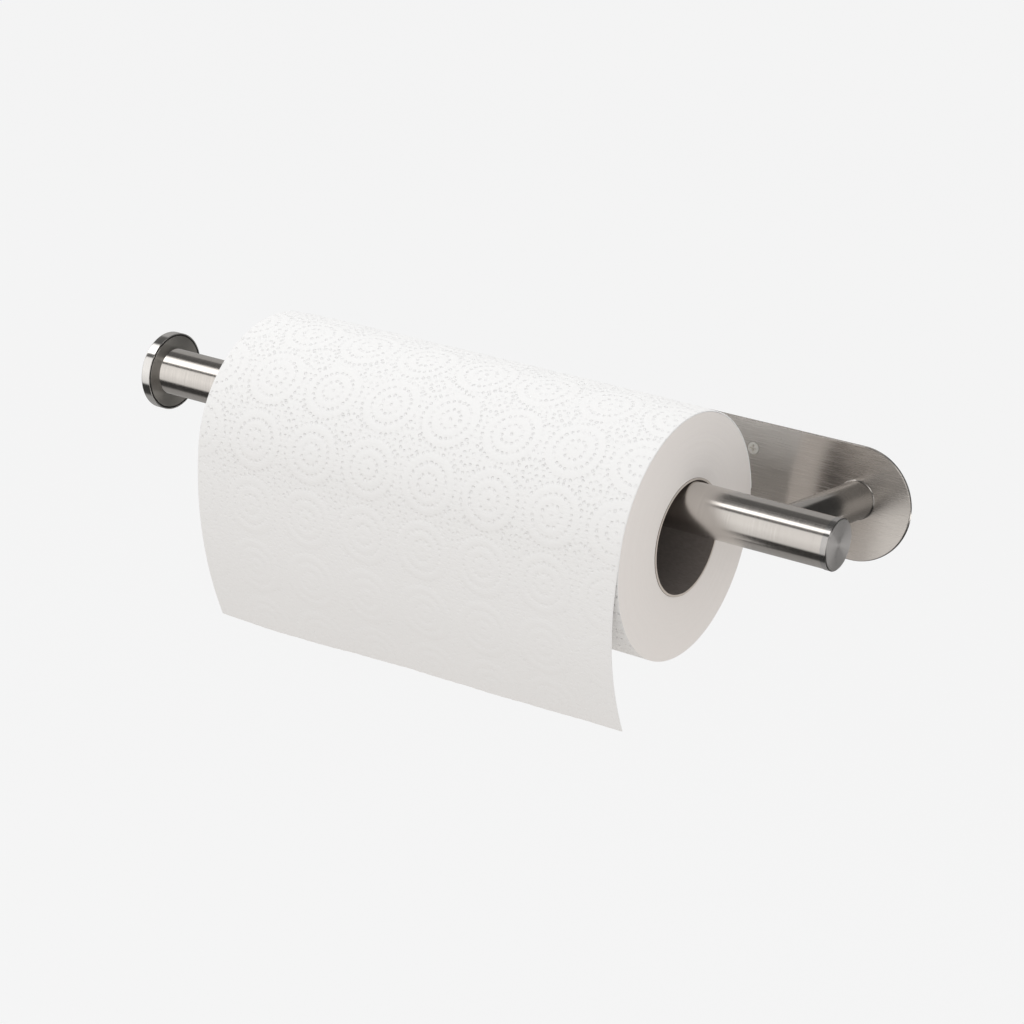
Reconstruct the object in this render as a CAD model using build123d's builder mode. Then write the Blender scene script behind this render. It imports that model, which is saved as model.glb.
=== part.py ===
"""Wall-mounted paper towel holder with a roll on its bar.

Frame: millimetres, +Z up, +Y into the wall, +X along the bar towards the post.
The origin is the centre of the wall screw pattern, on the wall's surface.
"""
import os

from build123d import *

# Wall plate, its foam pad and its screws
PLATE_LENGTH = 190.0
PLATE_HEIGHT = 51.3
PLATE_THICKNESS = 1.5
PLATE_EDGE = 0.35
PAD_THICKNESS = 0.8
PAD_INSET = 1.5
SCREW_SPACING_X = 86.0
SCREW_SPACING_Z = 26.5
SCREW_TO_POST = 53.0
WALL_SCREW_LENGTH = 30.0
WALL_SCREW_RADIUS = 1.5
WALL_SCREW_NECK = 1.35
WALL_SCREW_NECK_LENGTH = 2.5
WALL_SCREW_ROOT = 1.1
WALL_SCREW_HEAD_RADIUS = 2.75
WALL_SCREW_PLAIN = 6.0
WALL_SCREW_PITCH = 1.3
WALL_SCREW_POINT = 4.0
WALL_SCREW_CLEARANCE = 0.15
RECESS_LENGTH = 3.2
RECESS_WIDTH = 0.85
RECESS_DEPTH = 0.9
RECESS_TAPER = 12.0

# Post between the plate and the bar
POST_RADIUS = 8.5
POST_WALL = 1.2
COLLAR_RADIUS = 8.9
COLLAR_THICKNESS = 1.3
COLLAR_EDGE = 0.3
GROOVE_RADIUS = 8.0
GROOVE_WIDTH = 0.3
COLLAR_SPIGOT = 6.0
SADDLE_LENGTH = 9.0

# Machine screws of one size, with simplified threads
MACHINE_RADIUS = 2.0
MACHINE_HEAD_RADIUS = 4.0
MACHINE_CLEARANCE = 0.2
THREAD_CLEARANCE = 0.05
HEAD_SINK = 0.05
HEX_ACROSS_FLATS = 2.5
HEX_DEPTH = 1.4
TIP_CHAMFER = 0.4
TIE_SCREW_LENGTH = 70.0
END_SCREW_LENGTH = 14.0

# Bar and its right end cap
BAR_STANDOFF = 73.5
BAR_RISE = 1.8
BAR_RADIUS = 11.0
BAR_WALL = 1.0
BAR_LENGTH = 355.6
BAR_OVERHANG = 27.8
PLUG_GAP = 0.03
ANCHOR_LENGTH = 22.0
CAP_RADIUS = 11.2
CAP_THICKNESS = 3.0
CAP_EDGE = 0.4
CAP_SPIGOT = 8.0

# End stop at the left end of the bar
FLANGE_RADIUS = 17.1
FLANGE_THICKNESS = 2.5
FLANGE_SEAT = 0.5
SEAL_WIDTH = 0.9
SEAL_RECESS = 0.1
STOP_RADIUS = 18.4
STOP_THICKNESS = 5.0
STOP_EDGE = 0.6
LIP_EDGE = 0.12
INSERT_LENGTH = 15.0

# Roll of paper
ROLL_WIDTH = 223.0
ROLL_TO_BAR_END = 70.0
ROLL_RADIUS = 54.1
ROLL_EDGE = 0.4
CORE_INNER_RADIUS = 25.0
CORE_THICKNESS = 1.0
CORE_PROUD = 0.3
RUNNING_GAP = 0.3
SHEET_THICKNESS = 0.5
SHEET_WRAP_ANGLE = 167.0
SHEET_CURL_RADIUS = 170.0
SHEET_CURL_ANGLE = 30.0

# Places worked out from the driving dimensions
PLATE_FRONT = PAD_THICKNESS + PLATE_THICKNESS
POST_X = SCREW_TO_POST + SCREW_SPACING_X / 2
PLATE_X = POST_X - (PLATE_LENGTH - PLATE_HEIGHT) / 2
BAR_RIGHT = POST_X + BAR_OVERHANG
BAR_LEFT = BAR_RIGHT - BAR_LENGTH
COLLAR_FRONT = PLATE_FRONT + COLLAR_THICKNESS
POST_BACK = COLLAR_FRONT + GROOVE_WIDTH
POST_BORE = POST_RADIUS - POST_WALL
BAR_BORE = BAR_RADIUS - BAR_WALL
LIP_BORE = FLANGE_RADIUS + SEAL_WIDTH
ROLL_RIGHT = BAR_RIGHT - ROLL_TO_BAR_END
ROLL_LEFT = ROLL_RIGHT - ROLL_WIDTH
ROLL_DROP = CORE_INNER_RADIUS - BAR_RADIUS - RUNNING_GAP


def wall_plane(depth: float) -> Plane:
    """Plane parallel to the wall, `depth` in front of it, facing the room."""
    return Plane.XZ.offset(depth)


def plane_to_wall(x: float, depth: float) -> Plane:
    """Plane on the post's axis, `depth` in front of the wall, facing the wall."""
    return Plane(origin=(x, -depth, BAR_RISE), x_dir=(1, 0, 0), z_dir=(0, 1, 0))


def bar_plane(x: float) -> Plane:
    """Plane across the bar, centred on its axis, facing +X."""
    return Plane(origin=(x, -BAR_STANDOFF, BAR_RISE), x_dir=(0, 1, 0), z_dir=(1, 0, 0))


def bar_plane_left(x: float) -> Plane:
    """Plane across the bar, centred on its axis, facing -X."""
    return Plane(origin=(x, -BAR_STANDOFF, BAR_RISE), x_dir=(0, -1, 0), z_dir=(-1, 0, 0))


def roll_plane(x: float) -> Plane:
    """Plane across the roll, centred on its axis, facing +X."""
    return Plane(origin=(x, -BAR_STANDOFF, BAR_RISE - ROLL_DROP), x_dir=(0, 1, 0), z_dir=(1, 0, 0))


def save(part: BuildPart, name: str) -> None:
    """Label a finished piece and write it to the parts folder."""
    part.part.label = name
    export_step(part.part, f"parts/{name}.step")


def machine_screw(length: float) -> Part:
    """Countersunk machine screw, head face at the origin, shank along -Z."""
    with BuildPart() as screw:
        with BuildSketch(Plane.XZ):
            with BuildLine():
                Polyline(
                    (0, 0),
                    (MACHINE_HEAD_RADIUS, 0),
                    (MACHINE_RADIUS, MACHINE_RADIUS - MACHINE_HEAD_RADIUS),
                    (MACHINE_RADIUS, TIP_CHAMFER - length),
                    (MACHINE_RADIUS - TIP_CHAMFER, -length),
                    (0, -length),
                    close=True,
                )
            make_face()
        revolve(axis=Axis.Z)
        with BuildSketch():
            RegularPolygon(HEX_ACROSS_FLATS / 2, 6, major_radius=False)
        extrude(amount=-HEX_DEPTH, mode=Mode.SUBTRACT)
    return screw.part


def wall_screw() -> Part:
    """Cross-recess wood screw, head face at the origin, shank along -Z."""
    outline = [(0, 0), (WALL_SCREW_HEAD_RADIUS, 0)]
    outline.append((WALL_SCREW_NECK, WALL_SCREW_NECK - WALL_SCREW_HEAD_RADIUS))
    outline.append((WALL_SCREW_RADIUS, -WALL_SCREW_NECK_LENGTH))
    outline.append((WALL_SCREW_RADIUS, -WALL_SCREW_PLAIN))
    thread_length = WALL_SCREW_LENGTH - WALL_SCREW_POINT - WALL_SCREW_PLAIN
    turns = int(thread_length / WALL_SCREW_PITCH)
    for turn in range(turns):
        crest = -WALL_SCREW_PLAIN - turn * WALL_SCREW_PITCH
        outline.append((WALL_SCREW_ROOT, crest - WALL_SCREW_PITCH * 0.45))
        outline.append((WALL_SCREW_RADIUS, crest - WALL_SCREW_PITCH))
    outline += [(WALL_SCREW_ROOT, -WALL_SCREW_LENGTH + WALL_SCREW_POINT), (0, -WALL_SCREW_LENGTH)]
    with BuildPart() as screw:
        with BuildSketch(Plane.XZ):
            with BuildLine():
                Polyline(*outline, close=True)
            make_face()
        revolve(axis=Axis.Z)
        with BuildSketch():
            Rectangle(RECESS_LENGTH, RECESS_WIDTH)
            Rectangle(RECESS_WIDTH, RECESS_LENGTH)
        extrude(amount=-RECESS_DEPTH, taper=RECESS_TAPER, mode=Mode.SUBTRACT)
    return screw.part


os.makedirs("parts", exist_ok=True)

# Wall plate: a stadium with four countersunk holes and one for the tie screw
with BuildPart() as wall_plate:
    with BuildSketch(wall_plane(PAD_THICKNESS)):
        with Locations((PLATE_X, 0)):
            SlotOverall(PLATE_LENGTH, PLATE_HEIGHT)
    extrude(amount=PLATE_THICKNESS)
    chamfer(faces().sort_by(Axis.Y)[0].edges(), PLATE_EDGE)
    with Locations(wall_plane(PLATE_FRONT)):
        with GridLocations(SCREW_SPACING_X, SCREW_SPACING_Z, 2, 2):
            CounterSinkHole(
                WALL_SCREW_RADIUS + WALL_SCREW_CLEARANCE,
                WALL_SCREW_HEAD_RADIUS + WALL_SCREW_CLEARANCE,
                depth=2 * PLATE_THICKNESS,
                counter_sink_angle=90,
            )
    with Locations(plane_to_wall(POST_X, HEAD_SINK)):
        CounterSinkHole(
            MACHINE_RADIUS + MACHINE_CLEARANCE,
            MACHINE_HEAD_RADIUS + MACHINE_CLEARANCE,
            depth=2 * PLATE_FRONT,
            counter_sink_angle=90,
        )
save(wall_plate, "wall_plate")

# Foam pad: the same stadium, a little smaller, with clearance holes
with BuildPart() as adhesive_pad:
    with BuildSketch(wall_plane(0)):
        with Locations((PLATE_X, 0)):
            SlotOverall(PLATE_LENGTH - 2 * PAD_INSET, PLATE_HEIGHT - 2 * PAD_INSET)
        with GridLocations(SCREW_SPACING_X, SCREW_SPACING_Z, 2, 2):
            Circle(2 * WALL_SCREW_RADIUS, mode=Mode.SUBTRACT)
        with Locations((POST_X, BAR_RISE)):
            Circle(MACHINE_HEAD_RADIUS + 1, mode=Mode.SUBTRACT)
    extrude(amount=PAD_THICKNESS)
save(adhesive_pad, "adhesive_pad")

# Wall screws: four of them through the corners of the pattern
one_wall_screw = wall_screw()
with BuildPart() as wall_screws:
    with Locations(wall_plane(PLATE_FRONT)):
        with GridLocations(SCREW_SPACING_X, SCREW_SPACING_Z, 2, 2):
            add(one_wall_screw)
save(wall_screws, "wall_screws")

# Post collar: the ring at the post's foot, with a spigot inside the tube
with BuildPart() as post_collar:
    with BuildSketch(wall_plane(PLATE_FRONT)):
        with Locations((POST_X, BAR_RISE)):
            Circle(COLLAR_RADIUS)
    extrude(amount=COLLAR_THICKNESS)
    chamfer(faces().sort_by(Axis.Y)[0].edges(), COLLAR_EDGE)
    with BuildSketch(wall_plane(COLLAR_FRONT)):
        with Locations((POST_X, BAR_RISE)):
            Circle(GROOVE_RADIUS)
    extrude(amount=GROOVE_WIDTH)
    with BuildSketch(wall_plane(POST_BACK)):
        with Locations((POST_X, BAR_RISE)):
            Circle(POST_BORE - PLUG_GAP)
    extrude(amount=COLLAR_SPIGOT)
    with Locations(plane_to_wall(POST_X, PLATE_FRONT)):
        Hole(MACHINE_RADIUS + MACHINE_CLEARANCE)
save(post_collar, "post_collar")

# Post: a tube whose front end is cut to sit on the bar
with BuildPart() as post:
    with BuildSketch(wall_plane(POST_BACK)):
        with Locations((POST_X, BAR_RISE)):
            Circle(POST_RADIUS)
            Circle(POST_BORE, mode=Mode.SUBTRACT)
    extrude(amount=BAR_STANDOFF - POST_BACK)
    with BuildSketch(bar_plane(POST_X - 2 * POST_RADIUS)):
        Circle(BAR_RADIUS + PLUG_GAP)
    extrude(amount=4 * POST_RADIUS, mode=Mode.SUBTRACT)
save(post, "post")

# Post saddle: guides the tie screw inside the front end of the post
with BuildPart() as post_saddle:
    with BuildSketch(wall_plane(BAR_STANDOFF - BAR_RADIUS - SADDLE_LENGTH)):
        with Locations((POST_X, BAR_RISE)):
            Circle(POST_BORE - PLUG_GAP)
            Circle(MACHINE_RADIUS + MACHINE_CLEARANCE, mode=Mode.SUBTRACT)
    extrude(amount=SADDLE_LENGTH + BAR_RADIUS)
    with BuildSketch(bar_plane(POST_X - 2 * POST_RADIUS)):
        Circle(BAR_RADIUS + PLUG_GAP)
    extrude(amount=4 * POST_RADIUS, mode=Mode.SUBTRACT)
save(post_saddle, "post_saddle")

# Tie screw: from the back of the plate, through the post, into the bar's anchor
long_screw = machine_screw(TIE_SCREW_LENGTH)
with BuildPart() as tie_screw:
    with Locations(plane_to_wall(POST_X, HEAD_SINK)):
        add(long_screw)
save(tie_screw, "tie_screw")

# Bar tube: one plain tube with a hole for the tie screw on the wall side
with BuildPart() as bar_tube:
    with BuildSketch(bar_plane(BAR_LEFT - FLANGE_SEAT)):
        Circle(BAR_RADIUS)
        Circle(BAR_BORE, mode=Mode.SUBTRACT)
    extrude(amount=BAR_LENGTH + FLANGE_SEAT - CAP_THICKNESS)
    with BuildSketch(wall_plane(BAR_STANDOFF)):
        with Locations((POST_X, BAR_RISE)):
            Circle(MACHINE_RADIUS + MACHINE_CLEARANCE)
    extrude(amount=-2 * BAR_RADIUS, mode=Mode.SUBTRACT)
save(bar_tube, "bar_tube")

# Bar anchor: the tapped slug inside the bar that the tie screw pulls on
with BuildPart() as bar_anchor:
    with BuildSketch(bar_plane(POST_X - ANCHOR_LENGTH / 2)):
        Circle(BAR_BORE - PLUG_GAP)
    extrude(amount=ANCHOR_LENGTH)
    with BuildSketch(wall_plane(BAR_STANDOFF)):
        with Locations((POST_X, BAR_RISE)):
            Circle(MACHINE_RADIUS + THREAD_CLEARANCE)
    extrude(amount=-2 * BAR_RADIUS, mode=Mode.SUBTRACT)
save(bar_anchor, "bar_anchor")

# Bar end cap: a turned button pressed into the right end of the bar
with BuildPart() as bar_end_cap:
    with BuildSketch(bar_plane(BAR_RIGHT - CAP_THICKNESS)):
        Circle(CAP_RADIUS)
    extrude(amount=CAP_THICKNESS)
    chamfer(faces().sort_by(Axis.X)[-1].edges(), CAP_EDGE)
    with BuildSketch(bar_plane(BAR_RIGHT - CAP_THICKNESS)):
        Circle(BAR_BORE - PLUG_GAP)
    extrude(amount=-CAP_SPIGOT)
save(bar_end_cap, "bar_end_cap")

# End insert: the tapped slug in the left end of the bar
with BuildPart() as bar_end_insert:
    with BuildSketch(bar_plane(BAR_LEFT - FLANGE_SEAT + PLUG_GAP)):
        Circle(BAR_BORE - PLUG_GAP)
        Circle(MACHINE_RADIUS + THREAD_CLEARANCE, mode=Mode.SUBTRACT)
    extrude(amount=INSERT_LENGTH)
save(bar_end_insert, "bar_end_insert")

# End flange: the disc that the bar's left end sits in
with BuildPart() as end_flange:
    with BuildSketch(bar_plane(BAR_LEFT - FLANGE_THICKNESS)):
        Circle(FLANGE_RADIUS - PLUG_GAP)
    extrude(amount=FLANGE_THICKNESS)
    with BuildSketch(bar_plane(BAR_LEFT - FLANGE_SEAT)):
        Circle(BAR_RADIUS + PLUG_GAP)
    extrude(amount=FLANGE_SEAT, mode=Mode.SUBTRACT)
    with Locations(bar_plane_left(BAR_LEFT - FLANGE_THICKNESS)):
        CounterSinkHole(
            MACHINE_RADIUS + MACHINE_CLEARANCE,
            MACHINE_HEAD_RADIUS + MACHINE_CLEARANCE,
            depth=2 * FLANGE_THICKNESS,
            counter_sink_angle=90,
        )
save(end_flange, "end_flange")

# End screw: holds the flange to the insert, under the stop cap
short_screw = machine_screw(END_SCREW_LENGTH)
with BuildPart() as end_screw:
    with Locations(bar_plane_left(BAR_LEFT - FLANGE_THICKNESS + HEAD_SINK)):
        add(short_screw)
save(end_screw, "end_screw")

# End seal: the black rubber ring that grips the stop cap on the flange
with BuildPart() as end_seal:
    with BuildSketch(bar_plane(BAR_LEFT - FLANGE_THICKNESS + PLUG_GAP)):
        Circle(LIP_BORE - PLUG_GAP)
        Circle(FLANGE_RADIUS, mode=Mode.SUBTRACT)
    extrude(amount=FLANGE_THICKNESS - SEAL_RECESS)
save(end_seal, "end_seal")

# Stop cap: the polished cup that closes the left end
with BuildPart() as end_cap:
    with BuildSketch(bar_plane(BAR_LEFT - STOP_THICKNESS)):
        Circle(STOP_RADIUS)
    extrude(amount=STOP_THICKNESS)
    fillet(faces().sort_by(Axis.X)[0].edges(), STOP_EDGE)
    with BuildSketch(bar_plane(BAR_LEFT - FLANGE_THICKNESS)):
        Circle(LIP_BORE)
    extrude(amount=FLANGE_THICKNESS, mode=Mode.SUBTRACT)
    fillet(edges().filter_by(GeomType.CIRCLE).group_by(Axis.X)[-1].sort_by(SortBy.RADIUS)[-1], LIP_EDGE)
save(end_cap, "end_cap")

# Cardboard core: the thin tube that hangs on the bar
with BuildPart() as cardboard_core:
    with BuildSketch(roll_plane(ROLL_LEFT - CORE_PROUD)):
        Circle(CORE_INNER_RADIUS + CORE_THICKNESS)
        Circle(CORE_INNER_RADIUS, mode=Mode.SUBTRACT)
    extrude(amount=ROLL_WIDTH + 2 * CORE_PROUD)
save(cardboard_core, "cardboard_core")

# Paper roll: the wound layers
with BuildPart() as paper_roll:
    with BuildSketch(roll_plane(ROLL_LEFT)):
        Circle(ROLL_RADIUS)
        Circle(CORE_INNER_RADIUS + CORE_THICKNESS + PLUG_GAP, mode=Mode.SUBTRACT)
    extrude(amount=ROLL_WIDTH)
    chamfer(edges().filter_by(GeomType.CIRCLE).group_by(SortBy.RADIUS)[-1], ROLL_EDGE)
save(paper_roll, "paper_roll")

# Loose sheet: the last towel, round the roll from the back and hanging in front
wrap_inner = ROLL_RADIUS + RUNNING_GAP
wrap_outer = wrap_inner + SHEET_THICKNESS
curl_centre = (SHEET_CURL_RADIUS - wrap_inner - SHEET_THICKNESS / 2, 0)
wrap_start = 180 - SHEET_WRAP_ANGLE
with BuildPart() as loose_sheet:
    with BuildSketch(roll_plane(ROLL_LEFT)):
        with BuildLine():
            outer_wrap = CenterArc((0, 0), wrap_outer, wrap_start, SHEET_WRAP_ANGLE)
            inner_wrap = CenterArc((0, 0), wrap_inner, wrap_start, SHEET_WRAP_ANGLE)
            outer_curl = CenterArc(
                curl_centre, SHEET_CURL_RADIUS + SHEET_THICKNESS / 2, 180, SHEET_CURL_ANGLE
            )
            inner_curl = CenterArc(
                curl_centre, SHEET_CURL_RADIUS - SHEET_THICKNESS / 2, 180, SHEET_CURL_ANGLE
            )
            Line(outer_wrap @ 0, inner_wrap @ 0)
            Line(outer_curl @ 1, inner_curl @ 1)
        make_face()
    extrude(amount=ROLL_WIDTH)
save(loose_sheet, "loose_sheet")
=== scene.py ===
"""Looks for a wall-mounted paper towel holder with an embossed kitchen roll on its bar."""
import logging
import math
from dataclasses import dataclass
from enum import Enum

import bpy
import numpy as np
from mathutils import Matrix, Vector

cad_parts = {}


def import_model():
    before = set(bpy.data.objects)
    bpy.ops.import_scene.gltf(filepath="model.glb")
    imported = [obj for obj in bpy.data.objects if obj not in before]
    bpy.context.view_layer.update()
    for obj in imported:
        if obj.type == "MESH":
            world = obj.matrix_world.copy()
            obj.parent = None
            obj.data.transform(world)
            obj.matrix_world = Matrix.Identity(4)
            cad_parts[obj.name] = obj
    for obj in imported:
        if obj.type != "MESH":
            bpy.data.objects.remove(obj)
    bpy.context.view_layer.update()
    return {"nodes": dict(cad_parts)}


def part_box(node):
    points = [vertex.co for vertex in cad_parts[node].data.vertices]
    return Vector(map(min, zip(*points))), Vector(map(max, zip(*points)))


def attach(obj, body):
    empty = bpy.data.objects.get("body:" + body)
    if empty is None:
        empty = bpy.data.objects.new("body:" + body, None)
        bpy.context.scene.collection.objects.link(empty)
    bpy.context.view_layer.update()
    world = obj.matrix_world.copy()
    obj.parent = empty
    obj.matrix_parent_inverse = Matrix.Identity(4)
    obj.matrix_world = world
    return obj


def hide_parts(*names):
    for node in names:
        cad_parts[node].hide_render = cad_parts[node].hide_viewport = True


LOG = logging.getLogger("towel_holder")
MM = 0.001
TURN = 2 * math.pi
NOISE_RANGE = (0.3, 0.7)  # where nearly all values of a noise texture lie
Colour = tuple[float, float, float]
Point = tuple[float, float, float]
Socket = bpy.types.NodeSocket


def scaled(colour: Colour, share: float) -> Colour:
    """Return a colour made lighter or darker, up to full white."""
    return tuple(min(1.0, share * part) for part in colour)


class Grain(Enum):
    """The direction in which a steel surface was brushed."""

    PLATE = "along the plate"
    BAR = "round the bar"
    POST = "round the post"
    FACE = "in circles on the bar's end faces"
    SPUN = "all ways on a small part"


class Graph:
    """A shader graph, with one short call for each kind of node."""

    def __init__(self, owner: "bpy.types.Material | bpy.types.World") -> None:
        """Start an empty graph.

        Args:
            owner: The material or world whose graph it is.
        """
        owner.use_nodes = True
        self.tree = owner.node_tree
        self.tree.nodes.clear()

    def plug(self, target: Socket, value: "Socket | float | tuple") -> None:
        """Link a socket to an input, or set the input to a plain value.

        Args:
            target: The input.
            value: The socket or the plain value.
        """
        if isinstance(value, bpy.types.NodeSocket):
            self.tree.links.new(value, target)
        else:
            target.default_value = value

    def math(self, operation: str, *values: "Socket | float") -> Socket:
        """Add one math node.

        Args:
            operation: The node's operation, such as MULTIPLY.
            values: Its inputs, as sockets or numbers.

        Returns:
            The node's output.
        """
        node = self.tree.nodes.new("ShaderNodeMath")
        node.operation = operation
        for target, value in zip(node.inputs, values):
            self.plug(target, value)
        return node.outputs[0]

    def vector(self, operation: str, a: "Socket | tuple", b: "Socket | tuple") -> Socket:
        """Add one vector math node.

        Args:
            operation: The node's operation, such as SUBTRACT.
            a: Its first vector.
            b: Its second vector.

        Returns:
            The node's vector output.
        """
        node = self.tree.nodes.new("ShaderNodeVectorMath")
        node.operation = operation
        self.plug(node.inputs[0], a)
        self.plug(node.inputs[1], b)
        return node.outputs["Vector"]

    def split(self, vector: Socket) -> tuple[Socket, Socket, Socket]:
        """Return the three components of a vector."""
        node = self.tree.nodes.new("ShaderNodeSeparateXYZ")
        self.plug(node.inputs[0], vector)
        return node.outputs[0], node.outputs[1], node.outputs[2]

    def join(self, x: "Socket | float", y: "Socket | float", z: "Socket | float") -> Socket:
        """Join three numbers into a vector.

        Args:
            x: The first component.
            y: The second component.
            z: The third component.

        Returns:
            The vector.
        """
        node = self.tree.nodes.new("ShaderNodeCombineXYZ")
        for target, value in zip(node.inputs, (x, y, z)):
            self.plug(target, value)
        return node.outputs[0]

    def place(self) -> Socket:
        """Return Object coordinates, in metres."""
        return self.tree.nodes.new("ShaderNodeTexCoord").outputs["Object"]

    def noise(self, vector: Socket, scale: float, detail: float = 2.0) -> Socket:
        """Add a noise texture.

        Args:
            vector: The place that the noise is read at.
            scale: How many grains there are to a unit of the vector.
            detail: How many finer layers are added.

        Returns:
            The noise, from 0 to 1.
        """
        node = self.tree.nodes.new("ShaderNodeTexNoise")
        self.plug(node.inputs["Vector"], vector)
        self.plug(node.inputs["Scale"], scale)
        self.plug(node.inputs["Detail"], detail)
        return node.outputs["Fac"]

    def spread(self, value: Socket, low: float, high: float, to: tuple[float, float] = (0.0, 1.0)) -> Socket:
        """Map a value smoothly from one range to another.

        Args:
            value: The value.
            low: The start of its range.
            high: The end of its range.
            to: What the start and the end become.

        Returns:
            The mapped value.
        """
        node = self.tree.nodes.new("ShaderNodeMapRange")
        node.interpolation_type = "SMOOTHSTEP"
        for target, number in zip(node.inputs[1:5], (low, high, *to)):
            target.default_value = number
        self.plug(node.inputs[0], value)
        return node.outputs[0]

    def tint(self, value: Socket, dark: "Socket | Colour", light: "Socket | Colour") -> Socket:
        """Mix two colours.

        Args:
            value: The share of the light colour, from 0 to 1.
            dark: The colour at 0.
            light: The colour at 1.

        Returns:
            The mixed colour.
        """
        node = self.tree.nodes.new("ShaderNodeMix")
        node.data_type = "RGBA"
        self.plug(node.inputs["Factor"], value)
        for target, colour in zip(node.inputs[6:8], (dark, light)):
            self.plug(target, colour if isinstance(colour, bpy.types.NodeSocket) else (*colour, 1))
        return node.outputs[2]

    def length(self, a: Socket, b: Socket) -> Socket:
        """Return the length of a vector with two parts at right angles."""
        square = self.math("ADD", self.math("MULTIPLY", a, a), self.math("MULTIPLY", b, b))
        return self.math("SQRT", square)

    def blend(self, share: "Socket | float", none: "Socket | float", full: "Socket | float") -> Socket:
        """Return one number at a share of 0 and another at a share of 1."""
        rest = self.math("MULTIPLY", self.math("SUBTRACT", 1.0, share), none)
        return self.math("ADD", rest, self.math("MULTIPLY", share, full))

    def bump(self, height: Socket, depth: float, strength: float = 1.0) -> Socket:
        """Bend the surface's normal by a height.

        Args:
            height: The height, from 0 to 1.
            depth: What a height of 1 stands for, in metres.
            strength: The share of the bend that is used.

        Returns:
            The bent normal.
        """
        node = self.tree.nodes.new("ShaderNodeBump")
        node.inputs["Strength"].default_value = strength
        node.inputs["Distance"].default_value = depth
        self.plug(node.inputs["Height"], height)
        return node.outputs[0]

    def ramp(self, value: Socket, stops: "tuple[tuple[float, Colour], ...]") -> Socket:
        """Read a colour off a ramp.

        Args:
            value: The place on the ramp, from 0 to 1.
            stops: The ramp's stops, each a place from 0 to 1 and a colour.

        Returns:
            The colour.
        """
        node = self.tree.nodes.new("ShaderNodeValToRGB")
        elements = node.color_ramp.elements
        while len(elements) < len(stops):
            elements.new(0.5)
        for element, (place, colour) in zip(elements, stops):
            element.position = place
            element.color = (*colour, 1)
        self.plug(node.inputs[0], value)
        return node.outputs[0]


class Finish(Graph):
    """A material's graph, round one Principled shader."""

    def __init__(self, name: str) -> None:
        """Start a material that holds only its shader.

        Args:
            name: The material's name.
        """
        self.material = bpy.data.materials.new(name)
        super().__init__(self.material)
        self.shader = self.tree.nodes.new("ShaderNodeBsdfPrincipled")
        output = self.tree.nodes.new("ShaderNodeOutputMaterial")
        self.tree.links.new(self.shader.outputs[0], output.inputs["Surface"])

    def normal(self) -> Socket:
        """Return the surface's own normal."""
        return self.tree.nodes.new("ShaderNodeNewGeometry").outputs["Normal"]

    def end_share(self) -> Socket:
        """Return how squarely the surface faces along the bar, from 0 to 1."""
        return self.math("ABSOLUTE", self.split(self.normal())[0])

    def set(self, **inputs: "Socket | float | tuple") -> None:
        """Set or link the shader's inputs, with underscores for spaces in their names."""
        for name, value in inputs.items():
            self.plug(self.shader.inputs[name.replace("_", " ")], value)


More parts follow.
